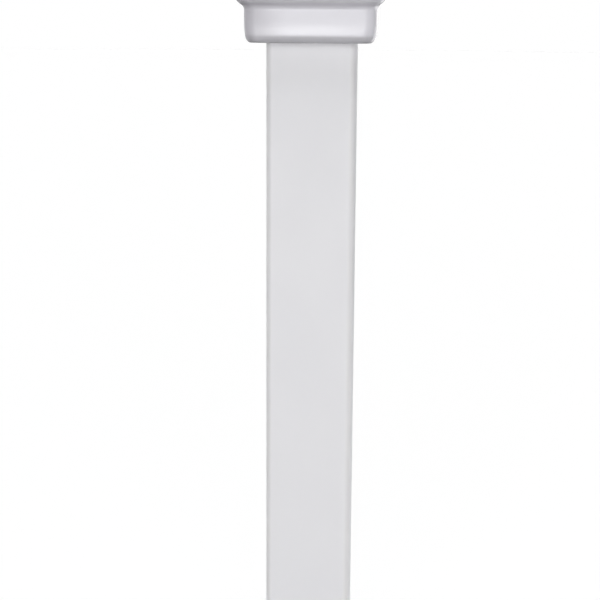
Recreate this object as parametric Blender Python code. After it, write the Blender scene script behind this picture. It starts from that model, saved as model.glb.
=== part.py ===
"""A square deck baluster in two pieces: a plain post shaft and the moulded capital on its head.

Metres, +Z up. The origin is the centre of the shaft's foot, and the front looks along -Y.
The four sides are alike, so each piece is a stack of level squares with rounded corners,
joined level by level along its profile.
"""

import math

import bmesh
import bpy

# Overall
BALUSTER_HEIGHT = 0.914  # foot to rail seat, for a guard 36 inches high

# Shaft
SHAFT_WIDTH = 0.089  # across the flats, a nominal 4 by 4 inch post
SHAFT_ARRIS_RADIUS = 0.006  # rounding of the four long edges

# Capital
BAND_PROJECTION = 0.0206  # shaft face to band face
BAND_HEIGHT = 0.0316  # underside to the start of the cove
BAND_CORNER_RADIUS = 0.012  # upright corners of the band
ROLL_HEIGHT = 0.020  # underside to where the band's face starts to roll in
ROLL_LEAN = math.radians(7)  # lean of the band's face from upright where the lip takes over
LIP_DRAW = 0.0052  # half axis of the lip's oval round, level
LIP_HEIGHT = 0.0092  # half axis of the lip's oval round, upright
COVE_RADIUS = 0.0065  # hollow that starts the flare
SHOULDER_RADIUS = 0.012  # round that ends the flare
FLARE_LEAN = math.radians(53)  # greatest lean of the flare from upright
ABACUS_PROJECTION = 0.0089  # band face to abacus face
ABACUS_HEIGHT = 0.019  # end of the flare to the rail seat
ABACUS_CORNER_RADIUS = 0.0136  # upright corners of the abacus
ABACUS_ARRIS_RADIUS = 0.003  # rounding around the rail seat

# Fit of the capital over the shaft's head
SOCKET_DEPTH = 0.025  # how far the head reaches up into the capital
SOCKET_CLEARANCE = 0.0005  # all round between the head and the socket's walls
SEAT_GAP = 0.0003  # between the head and the socket's ceiling

# Facets of the round stretches
CORNER_STEPS = 8
ROLL_STEPS = 3
LIP_STEPS = 9
FLARE_STEPS = 8
ARRIS_STEPS = 5
SMOOTH_ANGLE = math.radians(35)  # creases sharper than this stay crisp

# Finish: the same satin white on both pieces
PAINT_WHITE = (0.80, 0.80, 0.83, 1.0)
PAINT_ROUGHNESS = 0.38
PAINT_METALLIC = 0.0

QUARTER = math.radians(90)

shaft_half = SHAFT_WIDTH / 2
band_half = shaft_half + BAND_PROJECTION
abacus_half = band_half + ABACUS_PROJECTION


def remove_objects():
    """Empty the scene."""
    for leftover in list(bpy.data.objects):
        bpy.data.objects.remove(leftover, do_unlink=True)


def swing(first, last, steps):
    """Angles from first to last in equal steps, with both ends."""
    return [first + (last - first) * step / steps for step in range(steps + 1)]


def flare_profile():
    """Outline of the cove, the leaning flat and the shoulder, as (projection, rise) from the band."""
    lean_sine = math.sin(FLARE_LEAN)
    lean_cosine = math.cos(FLARE_LEAN)
    flat_out = ABACUS_PROJECTION - (COVE_RADIUS + SHOULDER_RADIUS) * (1 - lean_cosine)
    flat_up = flat_out * lean_cosine / lean_sine

    outline = []
    for angle in swing(0, FLARE_LEAN, FLARE_STEPS):
        outline.append((COVE_RADIUS * (1 - math.cos(angle)), COVE_RADIUS * math.sin(angle)))

    shoulder_out = ABACUS_PROJECTION - SHOULDER_RADIUS
    shoulder_up = (COVE_RADIUS + SHOULDER_RADIUS) * lean_sine + flat_up
    for angle in swing(FLARE_LEAN, 0, FLARE_STEPS):
        outline.append(
            (
                shoulder_out + SHOULDER_RADIUS * math.cos(angle),
                shoulder_up - SHOULDER_RADIUS * math.sin(angle),
            )
        )
    return outline


def lip_profile():
    """Outline of the lip and the slow roll over it, as (draw, rise) from the band's face and foot."""
    lip_end = math.atan(math.tan(ROLL_LEAN) * LIP_HEIGHT / LIP_DRAW)
    lip_top = LIP_HEIGHT * (1 - math.sin(lip_end))
    roll_radius = (ROLL_HEIGHT - lip_top) / math.sin(ROLL_LEAN)
    roll_draw = roll_radius * (1 - math.cos(ROLL_LEAN))

    outline = []
    for angle in swing(QUARTER, lip_end, LIP_STEPS):
        draw = roll_draw + LIP_DRAW * (math.cos(lip_end) - math.cos(angle))
        outline.append((draw, LIP_HEIGHT * (1 - math.sin(angle))))
    for angle in swing(ROLL_LEAN, 0, ROLL_STEPS)[1:]:
        rise = ROLL_HEIGHT - roll_radius * math.sin(angle)
        outline.append((roll_radius * (1 - math.cos(angle)), rise))
    return outline


flare_outline = flare_profile()
flare_height = flare_outline[-1][1]
capital_height = BAND_HEIGHT + flare_height + ABACUS_HEIGHT
capital_underside = BALUSTER_HEIGHT - capital_height
shaft_head = capital_underside + SOCKET_DEPTH - SEAT_GAP


def rounded_square(half_width, corner_radius, height):
    """Points of one level square with rounded corners, anticlockwise from above."""
    centre = half_width - corner_radius
    points = []
    for quarter in range(4):
        first = quarter * QUARTER
        across = centre * math.copysign(1, math.cos(first + QUARTER / 2))
        along = centre * math.copysign(1, math.sin(first + QUARTER / 2))
        for angle in swing(first, first + QUARTER, CORNER_STEPS):
            x = across + corner_radius * math.cos(angle)
            y = along + corner_radius * math.sin(angle)
            points.append((x, y, height))
    return points


def solid_from_levels(name, levels, material):
    """Join the levels one to the next and close the first and the last with a flat face.

    In a section with the axis on its left, the levels run with the solid to the left of their path.
    """
    shape = bmesh.new()
    rings = [[shape.verts.new(point) for point in level] for level in levels]
    for ring, following in zip(rings, rings[1:]):
        for corner in range(len(ring)):
            neighbour = (corner + 1) % len(ring)
            shape.faces.new(
                (ring[corner], ring[neighbour], following[neighbour], following[corner])
            )
    shape.faces.new(reversed(rings[0]))
    shape.faces.new(rings[-1])

    mesh = bpy.data.meshes.new(name)
    shape.to_mesh(mesh)
    shape.free()
    mesh.shade_smooth()
    mesh.set_sharp_from_angle(angle=SMOOTH_ANGLE)
    mesh.materials.append(material)
    piece = bpy.data.objects.new(name, mesh)
    bpy.context.collection.objects.link(piece)
    return piece


def satin_white(name):
    """White satin paint."""
    material = bpy.data.materials.new(name)
    material.use_nodes = True
    shader = material.node_tree.nodes["Principled BSDF"]
    shader.inputs["Base Color"].default_value = PAINT_WHITE
    shader.inputs["Roughness"].default_value = PAINT_ROUGHNESS
    shader.inputs["Metallic"].default_value = PAINT_METALLIC
    return material


def make_shaft():
    """The square post, cut flat at its foot and at the head inside the capital."""
    levels = [
        rounded_square(shaft_half, SHAFT_ARRIS_RADIUS, 0.0),
        rounded_square(shaft_half, SHAFT_ARRIS_RADIUS, shaft_head),
    ]
    return solid_from_levels("shaft", levels, satin_white("shaft_paint"))


def capital_levels():
    """The capital's squares: down the socket, out under the band, up the outside to the seat."""
    socket_half = shaft_half + SOCKET_CLEARANCE
    socket_corner = SHAFT_ARRIS_RADIUS + SOCKET_CLEARANCE
    levels = [
        rounded_square(socket_half, socket_corner, capital_underside + SOCKET_DEPTH),
        rounded_square(socket_half, socket_corner, capital_underside),
    ]

    for draw, up in lip_profile():
        half_width = band_half - draw
        corner = BAND_CORNER_RADIUS * half_width / band_half
        levels.append(rounded_square(half_width, corner, capital_underside + up))

    flare_start = capital_underside + BAND_HEIGHT
    flare_growth = (ABACUS_CORNER_RADIUS - BAND_CORNER_RADIUS) / ABACUS_PROJECTION
    for out, up in flare_outline:
        corner = BAND_CORNER_RADIUS + flare_growth * out
        levels.append(rounded_square(band_half + out, corner, flare_start + up))

    for angle in swing(0, QUARTER, ARRIS_STEPS):
        draw = ABACUS_ARRIS_RADIUS * (1 - math.cos(angle))
        height = BALUSTER_HEIGHT - ABACUS_ARRIS_RADIUS * (1 - math.sin(angle))
        levels.append(rounded_square(abacus_half - draw, ABACUS_CORNER_RADIUS - draw, height))
    return levels


def make_capital():
    """The moulded capital: a soft-edged band, a flare and a flat abacus, in one piece."""
    return solid_from_levels("capital", capital_levels(), satin_white("capital_paint"))


remove_objects()
make_shaft()
make_capital()
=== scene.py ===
import math

import bmesh
import bpy
from mathutils import Matrix, Vector


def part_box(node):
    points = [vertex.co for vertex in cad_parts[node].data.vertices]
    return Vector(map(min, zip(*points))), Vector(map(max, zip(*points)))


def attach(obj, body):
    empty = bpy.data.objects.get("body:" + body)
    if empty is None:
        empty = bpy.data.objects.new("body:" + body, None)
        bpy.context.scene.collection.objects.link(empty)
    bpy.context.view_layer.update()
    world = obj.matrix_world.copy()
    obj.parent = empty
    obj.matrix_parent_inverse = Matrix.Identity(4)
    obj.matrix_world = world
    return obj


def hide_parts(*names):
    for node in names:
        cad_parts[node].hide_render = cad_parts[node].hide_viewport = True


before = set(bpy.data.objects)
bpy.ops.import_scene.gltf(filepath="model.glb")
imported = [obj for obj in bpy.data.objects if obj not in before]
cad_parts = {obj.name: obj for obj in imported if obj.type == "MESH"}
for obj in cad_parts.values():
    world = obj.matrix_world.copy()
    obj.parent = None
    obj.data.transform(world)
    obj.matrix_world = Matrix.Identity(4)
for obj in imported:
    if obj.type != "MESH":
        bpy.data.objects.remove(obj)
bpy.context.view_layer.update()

# A white deck baluster in a white studio. Its two pieces are modelled again with finer rounds than
# the solids have, and painted. Sizes are in metres unless a note says otherwise.

# Read off the solids
SHAFT_LOW, SHAFT_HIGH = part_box("shaft")
CAPITAL_LOW, CAPITAL_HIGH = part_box("capital")
UNDERSIDE = CAPITAL_LOW.z
SEAT = CAPITAL_HIGH.z
SHAFT_HALF = SHAFT_HIGH.x
ABACUS_HALF = CAPITAL_HIGH.x

# Shaft
SHAFT_ARRIS = 0.006  # rounding of the four long edges
FOOT_EASE = 0.0006  # the saw's sharp edge taken off the foot

# Capital
BAND_PROJECTION = 0.0206  # shaft face to band face
BAND_HALF = SHAFT_HALF + BAND_PROJECTION
BAND_HEIGHT = 0.0316  # underside to the start of the cove
BAND_CORNER = 0.012  # upright corners of the band
ROLL_HEIGHT = 0.020  # underside to where the band's face starts to roll in
ROLL_LEAN = math.radians(7)  # lean of the band's face from upright where the lip takes over
LIP_DRAW = 0.0052  # half axis of the lip's oval round, level
LIP_HEIGHT = 0.0092  # half axis of the lip's oval round, upright
COVE_RADIUS = 0.0065  # hollow that starts the flare
SHOULDER_RADIUS = 0.012  # round that ends the flare
FLARE_LEAN = math.radians(53)  # greatest lean of the flare from upright
SEAT_ARRIS = 0.003  # rounding around the rail seat
SOCKET_DEPTH = 0.025  # underside to the socket's ceiling
SOCKET_CLEARANCE = 0.0005  # all round between the shaft's head and the socket's walls
SOCKET_EASE = 0.0004  # paint-softened edge of the socket's mouth

# Facets of the round stretches
CORNER_SEGMENTS = 14
FOOT_SEGMENTS = 2
MOUTH_SEGMENTS = 3
SEAT_SEGMENTS = 6
ROLL_STEPS = 8
LIP_STEPS = 14
FLARE_STEPS = 14
SMOOTH_ANGLE = math.radians(40)  # creases sharper than this stay crisp

QUARTER = math.radians(90)
LEVEL_TOUCH = 0.000001  # how near to a height a point counts as at it
WALL_TOUCH = 0.00001  # how far past a wall a point still counts as on it
UPRIGHT_SHARE = 0.9  # an edge counts as upright where its rise is more of its length than this

# Noises, each as its scale per metre, the share of that scale along x, y and z, and its detail
COLOUR_DRIFT = (9.0, (1, 1, 0.6), 3.0)
GLOSS_PATCHES = (38.0, (1, 1, 0.7), 4.0)
RUB_PATCHES = (70.0, (1, 1, 0.25), 5.0)
# patches of the painted shade under the band's lip
LIP_SHADE_PATCHES = (45.0, (1, 1, 2), 4.0)
# patches of the painted shade on the capital's -X side
SIDE_SHADE_PATCHES = (32.0, (1, 1, 1), 3.0)
WAVINESS = (16.0, (1, 1, 1), 1.0)
STIPPLE = (850.0, (1, 1, 1), 2.0)
BRUSH_SCALE = 900.0
BRUSH_DETAIL = 3.0
NOISE_ROUGHNESS = 0.55
NOISE_LOW, NOISE_HIGH = 0.3, 0.7  # most of a noise's values lie between these

# Paint
WAVE_DEPTH = 0.0005
RUB_START = 0.0070  # inside the square corner, counted along x and y together
RUB_FULL = 0.0037  # where the rubbing is full, counted the same way
RUB_LEAST = 0.1  # share of the rubbing left in its faintest patches
LIP_SHADE_FULL = 0.0048  # above the underside, where the painted shade under the lip is full; it starts LIP_HEIGHT above it
LIP_SHADE_LEAST = 0.75  # share of the painted lip shade left in its faintest patches
SIDE_SHADE_START = -0.018  # along X, where the painted shade on the capital's -X side starts
SIDE_SHADE_FULL = -0.060  # along X, where the painted side shade is full
SIDE_SHADE_LEAST = 0.7  # share of the painted side shade left in its faintest patches
UNSHADED_SHINE = 0.5  # specular level of the paint away from the shaded side
SHINE_GONE = 1.15  # side shade that would leave no shine, past the most that there is

# Camera, fitted to the photograph's outlines
CAMERA_DISTANCE = 1.44666  # from the shaft's axis, level
CAMERA_RISE = 0.05214  # above the capital's underside
CAMERA_YAW = math.radians(3.468)  # round towards +X
CAMERA_PAN = math.radians(-0.480)  # to the camera's left
CAMERA_TILT = math.radians(12.602)  # down
CAMERA_ROLL = math.radians(0.315)
CAMERA_LENS = 83.55  # millimetres
CAMERA_SENSOR = 36  # millimetres across
CAMERA_NEAR = 0.05
CAMERA_FAR = 100

# Floor and backdrop
BACKDROP_RADIUS = 20
BACKDROP_SEGMENTS = 48
BACKDROP_RINGS = 24
BACKDROP_ALBEDO = 0.0
BACKDROP_GLOW = 1.0
FLOOR_SIDES = 96
FLOOR_DROP = 0.0002  # keeps the floor just under the foot
FLOOR_ALBEDO = 0.5
FLOOR_GLOW = 0.46
PAPER_ROUGHNESS = 0.9

# Lights: turn from the front towards +X, rise above level, radius of the even middle and radius
# of the faded edge, all in degrees, and strength
LIGHTS = (
    (0, 5, 8, 28, 3.55),  # the main one, in front and a little above level
    (-4, -11.5, 2, 7, 12.5),  # small, strong and low in front, for the highlight above the lip
    (30, 0, 8, 28, 1.2),
    (60, 5, 8, 28, 1.0),
    (100, 0, 8, 28, 0.5),
    (140, -22, 8, 28, 2.7),
    (180, 15, 8, 28, 2.4),
    (225, -20, 8, 28, 1.4),
    (238, 20, 8, 28, 2.6),
    (260, 0, 8, 28, 0.5),
    (300, -5, 8, 28, 0.5),
    (0, 90, 10, 35, 4.3),  # overhead
)
WHITE = (1, 1, 1, 1)  # colour of every light and of the paper's glow


# Modelling


def new_box(name, low, high):
    """A box between two corners, alone in the selection, with its origin at the world's origin."""
    bpy.ops.object.select_all(action="DESELECT")
    bpy.ops.mesh.primitive_cube_add(size=1, location=(low + high) / 2)
    box = bpy.context.object
    box.name = box.data.name = name
    box.scale = high - low
    bpy.ops.object.transform_apply(location=True, rotation=True, scale=True)
    return box


def pick(piece, kind, wanted):
    """Select the faces or edges of a piece in edit mode for which wanted() is true."""
    bpy.ops.mesh.select_mode(type=kind)
    bpy.ops.mesh.select_all(action="DESELECT")
    shape = bmesh.from_edit_mesh(piece.data)
    for element in shape.faces if kind == "FACE" else shape.edges:
        element.select_set(wanted(element))
    shape.select_flush_mode()
    bmesh.update_edit_mesh(piece.data)


def upright(edge):
    """Whether an edge stands upright."""
    rise = edge.verts[0].co - edge.verts[1].co
    return abs(rise.z) > UPRIGHT_SHARE * rise.length


def level_at(height):
    """A test for faces or edges that lie level at a height."""
    return lambda element: all(abs(v.co.z - height) < LEVEL_TOUCH for v in element.verts)


def round_edges(radius, segments):
    """Round the selected edges."""
    bpy.ops.mesh.bevel(offset=radius, offset_type="OFFSET", segments=segments, affect="EDGES")


def draw_level(rise, scale, height):
    """Extrude the selected level face by rise to a height, and draw it in or out from the axis."""
    bpy.ops.mesh.extrude_region_move(TRANSFORM_OT_translate={"value": (0, 0, rise)})
    bpy.ops.transform.resize(value=(scale, scale, 1), center_override=(0, 0, height))


def draw_profile(piece, levels, height, half):
    """Carry the level face at a height through the levels that follow, and give the last height."""
    pick(piece, "FACE", level_at(height))
    for next_height, next_half in levels:
        draw_level(next_height - height, next_half / half, next_height)
        height, half = next_height, next_half
    return height


def make_shaft():
    """The plain square post: a box with its long edges rounded and its foot just eased."""
    shaft = new_box("square_shaft", SHAFT_LOW, SHAFT_HIGH)
    bpy.ops.object.mode_set(mode="EDIT")
    pick(shaft, "EDGE", upright)
    round_edges(SHAFT_ARRIS, CORNER_SEGMENTS)
    pick(shaft, "EDGE", level_at(SHAFT_LOW.z))
    round_edges(FOOT_EASE, FOOT_SEGMENTS)
    bpy.ops.object.mode_set(mode="OBJECT")
    return shaft


def lip_levels():
    """Heights and half widths down the band's slow roll and the tighter lip under it."""
    start = math.atan(math.tan(ROLL_LEAN) * LIP_HEIGHT / LIP_DRAW)
    lip_top = UNDERSIDE + LIP_HEIGHT * (1 - math.sin(start))
    roll_top = UNDERSIDE + ROLL_HEIGHT
    roll_radius = (roll_top - lip_top) / math.sin(ROLL_LEAN)
    levels = []
    for step in range(1, ROLL_STEPS + 1):
        angle = ROLL_LEAN * step / ROLL_STEPS
        height = roll_top - roll_radius * math.sin(angle)
        levels.append((height, BAND_HALF - roll_radius * (1 - math.cos(angle))))
    lip_half = levels[-1][1]
    for step in range(1, LIP_STEPS + 1):
        angle = start + (QUARTER - start) * step / LIP_STEPS
        height = UNDERSIDE + LIP_HEIGHT * (1 - math.sin(angle))
        levels.append((height, lip_half - LIP_DRAW * (math.cos(start) - math.cos(angle))))
    return levels


def flare_levels():
    """Heights and half widths up the cove, the leaning flat and the shoulder."""
    projection = ABACUS_HALF - BAND_HALF
    flat_out = projection - (COVE_RADIUS + SHOULDER_RADIUS) * (1 - math.cos(FLARE_LEAN))
    flat_up = flat_out / math.tan(FLARE_LEAN)
    start = UNDERSIDE + BAND_HEIGHT
    shoulder = start + (COVE_RADIUS + SHOULDER_RADIUS) * math.sin(FLARE_LEAN) + flat_up
    levels = []
    for step in range(1, FLARE_STEPS + 1):
        angle = FLARE_LEAN * step / FLARE_STEPS
        height = start + COVE_RADIUS * math.sin(angle)
        levels.append((height, BAND_HALF + COVE_RADIUS * (1 - math.cos(angle))))
    for step in range(FLARE_STEPS + 1):
        angle = FLARE_LEAN * (1 - step / FLARE_STEPS)
        height = shoulder - SHOULDER_RADIUS * math.sin(angle)
        levels.append((height, ABACUS_HALF - SHOULDER_RADIUS * (1 - math.cos(angle))))
    return levels


def cut_socket(capital):
    """Take the socket for the shaft's head out of the capital's underside."""
    room = SHAFT_HALF + SOCKET_CLEARANCE
    low = Vector((-room, -room, UNDERSIDE - SOCKET_DEPTH))
    high = Vector((room, room, UNDERSIDE + SOCKET_DEPTH))
    cutter = new_box("socket_cutter", low, high)
    bpy.ops.object.mode_set(mode="EDIT")
    pick(cutter, "EDGE", upright)
    round_edges(SHAFT_ARRIS + SOCKET_CLEARANCE, CORNER_SEGMENTS)
    bpy.ops.object.mode_set(mode="OBJECT")

    bpy.ops.object.select_all(action="DESELECT")
    bpy.context.view_layer.objects.active = capital
    capital.select_set(True)
    bpy.ops.object.modifier_add(type="BOOLEAN")
    cut = capital.modifiers[-1]
    cut.operation = "DIFFERENCE"
    cut.solver = "EXACT"
    cut.object = cutter
    bpy.ops.object.modifier_apply(modifier=cut.name)
    bpy.data.objects.remove(cutter, do_unlink=True)


def soften_socket(capital):
    """Ease the mouth of the socket, where paint has run over its edge."""
    room = SHAFT_HALF + SOCKET_CLEARANCE + WALL_TOUCH
    in_underside = level_at(UNDERSIDE)

    def at_mouth(edge):
        """Whether an edge lies level in the underside, along the socket's walls."""
        return in_underside(edge) and all(
            abs(v.co.x) < room and abs(v.co.y) < room for v in edge.verts
        )

    bpy.ops.object.mode_set(mode="EDIT")
    pick(capital, "EDGE", at_mouth)
    round_edges(SOCKET_EASE, MOUTH_SEGMENTS)
    bpy.ops.object.mode_set(mode="OBJECT")


def make_capital():
    """The moulded capital, drawn down and up from the plain part of its band."""
    low = Vector((-BAND_HALF, -BAND_HALF, UNDERSIDE + ROLL_HEIGHT))
    high = Vector((BAND_HALF, BAND_HALF, UNDERSIDE + BAND_HEIGHT))
    capital = new_box("moulded_capital", low, high)
    bpy.ops.object.mode_set(mode="EDIT")
    pick(capital, "EDGE", upright)
    round_edges(BAND_CORNER, CORNER_SEGMENTS)
    draw_profile(capital, lip_levels(), low.z, BAND_HALF)
    top = draw_profile(capital, flare_levels(), high.z, BAND_HALF)
    draw_level(SEAT - top, 1, SEAT)
    pick(capital, "EDGE", level_at(SEAT))
    round_edges(SEAT_ARRIS, SEAT_SEGMENTS)
    bpy.ops.object.mode_set(mode="OBJECT")
    cut_socket(capital)
    soften_socket(capital)
    return capital


def finish_by_hand(piece, body, node):
    """Smooth a piece, keep its flats flat in the shading, and let it stand for its solid."""
    bpy.ops.object.select_all(action="DESELECT")
    piece.select_set(True)
    bpy.context.view_layer.objects.active = piece
    bpy.ops.object.shade_smooth_by_angle(angle=SMOOTH_ANGLE)
    bpy.ops.object.modifier_add(type="WEIGHTED_NORMAL")
    piece.modifiers[-1].keep_sharp = True
    bpy.ops.object.modifier_apply(modifier=piece.modifiers[-1].name)
    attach(piece, body)
    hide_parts(node)


# Finishes


def nodes_of(material):
    """The node tree of a new material, and the shader in it."""
    material.use_nodes = True
    tree = material.node_tree
    return tree, tree.nodes["Principled BSDF"]


def noise(tree, place, scale, shares, detail):
    """Noise over a place, at a share of its scale along each of x, y and z."""
    mapping = tree.nodes.new("ShaderNodeMapping")
    mapping.inputs["Scale"].default_value = shares
    texture = tree.nodes.new("ShaderNodeTexNoise")
    texture.inputs["Scale"].default_value = scale
    texture.inputs["Detail"].default_value = detail
    texture.inputs["Roughness"].default_value = NOISE_ROUGHNESS
    tree.links.new(place, mapping.inputs["Vector"])
    tree.links.new(mapping.outputs["Vector"], texture.inputs["Vector"])
    return texture.outputs["Fac"]


def spread(tree, value, low, high):
    """Carry a noise's value to the range low to high."""
    reach = tree.nodes.new("ShaderNodeMapRange")
    reach.inputs["From Min"].default_value = NOISE_LOW
    reach.inputs["From Max"].default_value = NOISE_HIGH
    reach.inputs["To Min"].default_value = low
    reach.inputs["To Max"].default_value = high
    tree.links.new(value, reach.inputs["Value"])
    return reach.outputs["Result"]


def relief(tree, height, depth, below=None):
    """Bump of a real depth in metres, over an earlier one."""
    bump = tree.nodes.new("ShaderNodeBump")
    bump.inputs["Strength"].default_value = 1.0
    bump.inputs["Distance"].default_value = depth
    tree.links.new(height, bump.inputs["Height"])
    if below is not None:
        tree.links.new(below, bump.inputs["Normal"])
    return bump.outputs["Normal"]


def arithmetic(tree, operation, first, second=None):
    """One step of arithmetic on a value, or between two."""
    step = tree.nodes.new("ShaderNodeMath")
    step.operation = operation
    tree.links.new(first, step.inputs[0])
    if second is not None:
        tree.links.new(second, step.inputs[1])
    return step.outputs["Value"]


def ramp(tree, value, start, end, top=1):
    """A soft step from 0 at start to top at end."""
    step = tree.nodes.new("ShaderNodeMapRange")
    step.interpolation_type = "SMOOTHSTEP"
    step.inputs["From Min"].default_value = start
    step.inputs["From Max"].default_value = end
    step.inputs["To Max"].default_value = top
    tree.links.new(value, step.inputs["Value"])
    return step.outputs["Result"]


def blend_colour(tree, amount, first, second):
    """Mix two colours, each a plain one or another node's."""
    mix = tree.nodes.new("ShaderNodeMix")
    mix.data_type = "RGBA"
    tree.links.new(amount, mix.inputs["Factor"])
    for socket, colour in (("A", first), ("B", second)):
        if isinstance(colour, tuple):
            mix.inputs[socket].default_value = (*colour, 1)
        else:
            tree.links.new(colour, mix.inputs[socket])
    return mix.outputs["Result"]


def along_axes(tree, place):
    """A place's x, y and z, by the names X, Y and Z."""
    split = tree.nodes.new("ShaderNodeSeparateXYZ")
    tree.links.new(place, split.inputs["Vector"])
    return split.outputs


def patchily(tree, place, amount, patches, least):
    """An amount thinned in patches, down to the least share of it in the faintest."""
    share = spread(tree, noise(tree, place, *patches), least, 1.0)
    return arithmetic(tree, "MULTIPLY", amount, share)


def rubbed_arrises(tree, place):
    """How far the paint is rubbed on the shaft's four long edges, patchily, from 0 to 1."""
    axes = along_axes(tree, place)
    across = arithmetic(tree, "ABSOLUTE", axes["X"])
    along = arithmetic(tree, "ABSOLUTE", axes["Y"])
    reach = arithmetic(tree, "ADD", across, along)
    corner = 2 * SHAFT_HALF
    arris = ramp(tree, reach, corner - RUB_START, corner - RUB_FULL)
    return patchily(tree, place, arris, RUB_PATCHES, RUB_LEAST)


def lip_painted_shade(tree, place):
    """How far painted shade greys the turned-under lip of the band, in patches, from 0 to 1."""
    height = along_axes(tree, place)["Z"]
    under = ramp(tree, height, UNDERSIDE + LIP_HEIGHT, UNDERSIDE + LIP_SHADE_FULL)
    return patchily(tree, place, under, LIP_SHADE_PATCHES, LIP_SHADE_LEAST)


def shaded_side(tree, place):
    """How far painted shade darkens the capital's -X side, patchily, from 0 to 1."""
    side = ramp(tree, along_axes(tree, place)["X"], SIDE_SHADE_START, SIDE_SHADE_FULL)
    return patchily(tree, place, side, SIDE_SHADE_PATCHES, SIDE_SHADE_LEAST)


def white_paint(
    name, pale, deep, wear_and_shade, marks, grain, brush_shares, gloss_low, gloss_high,
    side_shade_colour=None, side_shade_mask=None,
):
    """Satin white paint: faint brush lines, fine stipple, a slow waviness and uneven gloss.

    Its colour drifts between pale and deep. It darkens to side_shade_colour, a painted shade, and
    loses shine where side_shade_mask() says, and turns to wear_and_shade where marks() says: rubbed
    paint on the shaft's edges, painted shade under the capital's lip. The lines and the stipple are
    as deep as grain.
    """
    material = bpy.data.materials.new(name)
    tree, shader = nodes_of(material)
    place = tree.nodes.new("ShaderNodeTexCoord").outputs["Object"]

    cloud = spread(tree, noise(tree, place, *COLOUR_DRIFT), 0, 1)
    colour = blend_colour(tree, cloud, deep, pale)
    gloss = spread(tree, noise(tree, place, *GLOSS_PATCHES), gloss_low, gloss_high)
    if side_shade_mask is not None:
        side_shading = side_shade_mask(tree, place)
        # painted shade on the capital's -X side, which also loses its shine there
        colour = blend_colour(tree, side_shading, colour, side_shade_colour)
        shine = ramp(tree, side_shading, SHINE_GONE, 0, top=UNSHADED_SHINE)
        tree.links.new(shine, shader.inputs["Specular IOR Level"])
    # paler rubbed paint on the shaft's edges; painted shade under the capital's lip
    colour = blend_colour(tree, marks(tree, place), colour, wear_and_shade)
    tree.links.new(colour, shader.inputs["Base Color"])
    tree.links.new(gloss, shader.inputs["Roughness"])

    wave = noise(tree, place, *WAVINESS)
    stipple = noise(tree, place, *STIPPLE)
    brush = noise(tree, place, BRUSH_SCALE, brush_shares, BRUSH_DETAIL)
    normal = relief(tree, wave, WAVE_DEPTH)
    normal = relief(tree, brush, grain, normal)
    normal = relief(tree, stipple, grain, normal)
    tree.links.new(normal, shader.inputs["Normal"])
    return material


def shaft_paint():
    """The shaft's paint, brushed lengthways and rubbed paler on the long edges."""
    return white_paint(
        "shaft_white",
        pale=(0.862, 0.857, 0.880),
        deep=(0.842, 0.839, 0.866),
        # paler where the paint is rubbed on the long edges
        wear_and_shade=(0.880, 0.874, 0.876),
        marks=rubbed_arrises,
        grain=0.00002,
        brush_shares=(1, 1, 0.02),
        gloss_low=0.45,
        gloss_high=0.58,
    )


def capital_paint():
    """The capital's paint, glossier, with painted shade under the band's lip and painted shade on
    its -X side, which also loses shine there.
    """
    return white_paint(
        "capital_white",
        pale=(0.777, 0.766, 0.816),
        deep=(0.759, 0.748, 0.803),
        # painted shade under the band's lip
        wear_and_shade=(0.600, 0.590, 0.625),
        marks=lip_painted_shade,
        grain=0.00001,
        brush_shares=(1, 1, 0.5),
        gloss_low=0.20,
        gloss_high=0.265,
        # painted shade on the capital's -X side
        side_shade_colour=(0.646, 0.632, 0.675),
        side_shade_mask=shaded_side,
    )


def dress(piece, material):
    """Give a piece its one finish."""
    piece.data.materials.clear()
    piece.data.materials.append(material)


# Studio


def place_camera():
    """The camera at the photograph's viewing angle."""
    data = bpy.data.cameras.new("camera")
    data.sensor_width = CAMERA_SENSOR
    data.lens = CAMERA_LENS
    data.clip_start = CAMERA_NEAR
    data.clip_end = CAMERA_FAR
    camera = bpy.data.objects.new("camera", data)
    bpy.context.scene.collection.objects.link(camera)

    ahead = Vector((-math.sin(CAMERA_YAW), math.cos(CAMERA_YAW), 0))
    right = Vector((math.cos(CAMERA_YAW), math.sin(CAMERA_YAW), 0))
    up = Vector((0, 0, 1))
    level = ahead * math.cos(CAMERA_PAN) + right * math.sin(CAMERA_PAN)
    side = right * math.cos(CAMERA_PAN) - ahead * math.sin(CAMERA_PAN)
    look = level * math.cos(CAMERA_TILT) - up * math.sin(CAMERA_TILT)
    head = up * math.cos(CAMERA_TILT) + level * math.sin(CAMERA_TILT)
    across = side * math.cos(CAMERA_ROLL) + head * math.sin(CAMERA_ROLL)
    head = head * math.cos(CAMERA_ROLL) - side * math.sin(CAMERA_ROLL)

    turn = Matrix((across, head, -look)).transposed().to_4x4()
    spot = -ahead * CAMERA_DISTANCE + up * (UNDERSIDE + CAMERA_RISE)
    camera.matrix_world = Matrix.Translation(spot) @ turn
    bpy.context.scene.camera = camera


def keep_light_off(prop):
    """Let a studio prop be seen without throwing light, reflections or shadow on the baluster."""
    prop.visible_diffuse = False
    prop.visible_glossy = False
    prop.visible_transmission = False
    prop.visible_shadow = False


def studio_paper(name, albedo, glow):
    """Matt paper that throws back a share of the light on it, and glows as if lit by lamps."""
    material = bpy.data.materials.new(name)
    shader = nodes_of(material)[1]
    shader.inputs["Base Color"].default_value = (albedo, albedo, albedo, 1)
    shader.inputs["Roughness"].default_value = PAPER_ROUGHNESS
    shader.inputs["Specular IOR Level"].default_value = 0.0
    shader.inputs["Emission Color"].default_value = WHITE
    shader.inputs["Emission Strength"].default_value = glow
    return material


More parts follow.
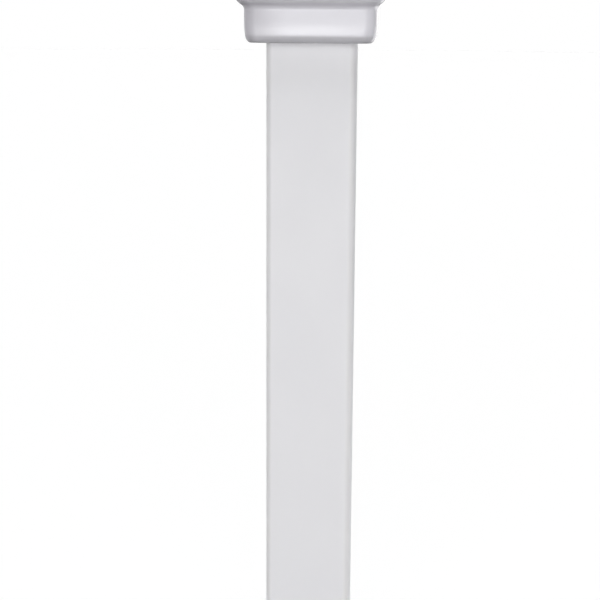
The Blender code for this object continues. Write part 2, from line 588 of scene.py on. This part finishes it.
def lay_floor():
    """A plain white floor that takes the baluster's shadow, out to the backdrop."""
    bpy.ops.object.select_all(action="DESELECT")
    bpy.ops.mesh.primitive_circle_add(
        vertices=FLOOR_SIDES,
        radius=BACKDROP_RADIUS,
        fill_type="NGON",
        location=(0, 0, -FLOOR_DROP),
    )
    floor = bpy.context.object
    floor.name = "floor"
    floor.data.materials.append(studio_paper("floor_white", FLOOR_ALBEDO, FLOOR_GLOW))
    keep_light_off(floor)


def hang_backdrop():
    """A plain white backdrop all round."""
    bpy.ops.object.select_all(action="DESELECT")
    bpy.ops.mesh.primitive_uv_sphere_add(
        segments=BACKDROP_SEGMENTS, ring_count=BACKDROP_RINGS, radius=BACKDROP_RADIUS
    )
    backdrop = bpy.context.object
    backdrop.name = "backdrop"
    backdrop.data.materials.append(studio_paper("backdrop_white", BACKDROP_ALBEDO, BACKDROP_GLOW))
    keep_light_off(backdrop)


def softbox(tree, around, turn, rise, middle, edge, strength):
    """A round soft light far off, at a turn from the front towards +X and a rise above level.

    It is even out to the middle's radius and fades away by the edge's, all in degrees.
    """
    turn, rise = math.radians(turn), math.radians(rise)
    towards = tree.nodes.new("ShaderNodeVectorMath")
    towards.operation = "DOT_PRODUCT"
    towards.inputs[1].default_value = (
        math.sin(turn) * math.cos(rise),
        -math.cos(turn) * math.cos(rise),
        math.sin(rise),
    )
    tree.links.new(around, towards.inputs[0])
    faded = math.cos(math.radians(edge))
    full = math.cos(math.radians(middle))
    return ramp(tree, towards.outputs["Value"], faded, full, top=strength)


def light_room():
    """Soft lights all round a dark room, and one overhead."""
    world = bpy.data.worlds.new("room")
    bpy.context.scene.world = world
    world.use_nodes = True
    tree = world.node_tree
    around = tree.nodes.new("ShaderNodeTexCoord").outputs["Generated"]
    total, *others = [softbox(tree, around, *light) for light in LIGHTS]
    for light in others:
        total = arithmetic(tree, "ADD", total, light)
    background = tree.nodes["Background"]
    tree.links.new(total, background.inputs["Strength"])
    background.inputs["Color"].default_value = WHITE


def build():
    """The baluster in its studio."""
    shaft = make_shaft()
    dress(shaft, shaft_paint())
    finish_by_hand(shaft, "root", "shaft")
    capital = make_capital()
    dress(capital, capital_paint())
    finish_by_hand(capital, "root", "capital")
    place_camera()
    lay_floor()
    hang_backdrop()
    light_room()
    bpy.context.scene.view_settings.view_transform = "Standard"


build()
